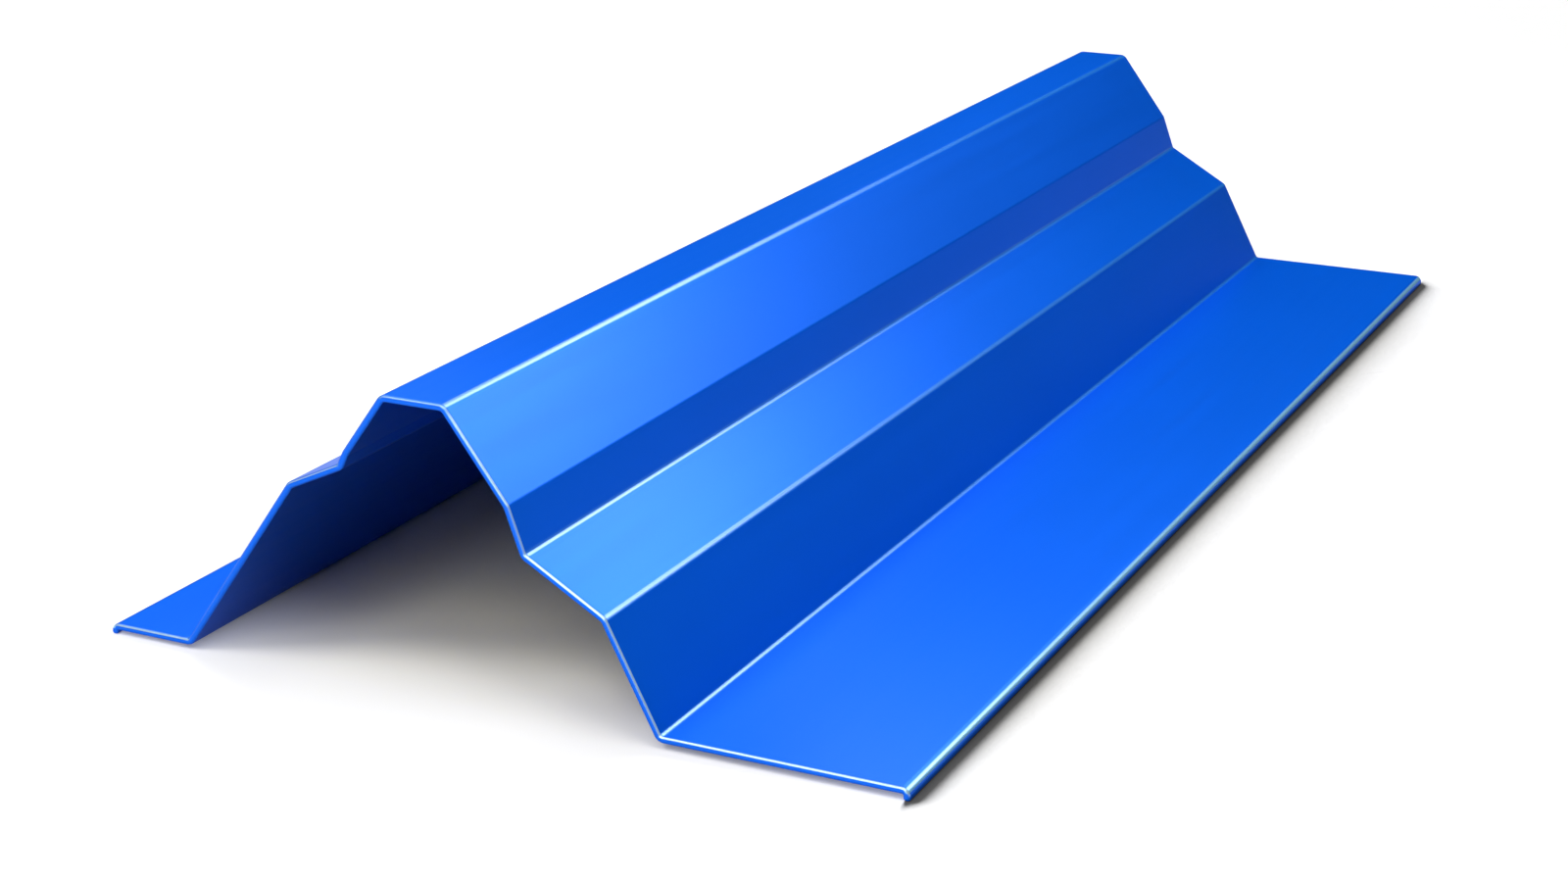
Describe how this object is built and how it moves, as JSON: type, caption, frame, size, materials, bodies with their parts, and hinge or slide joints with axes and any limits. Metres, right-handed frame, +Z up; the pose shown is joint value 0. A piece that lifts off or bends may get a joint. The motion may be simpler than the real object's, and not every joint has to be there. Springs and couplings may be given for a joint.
{
  "type": "roof corner flashing",
  "caption": "Blue coated roof corner flashing: one folded sheet with a flat top strip, stepped slopes, two flanges and turned-down lips.",
  "frame": {"origin": "centre of the footprint, on the floor that the two lips stand on", "axes": "+Z up, +Y along the folds; the near cut end of the picture faces -Y, and the wide flange is on the +X side"},
  "size_m": [0.4, 0.86, 0.137],
  "materials": {
    "coated_sheet": "smooth semi-gloss blue coating on both faces and on the cut edges"
  },
  "bodies": {
    "root": {"folded_sheet": "coated_sheet"}
  },
  "joints": []
}
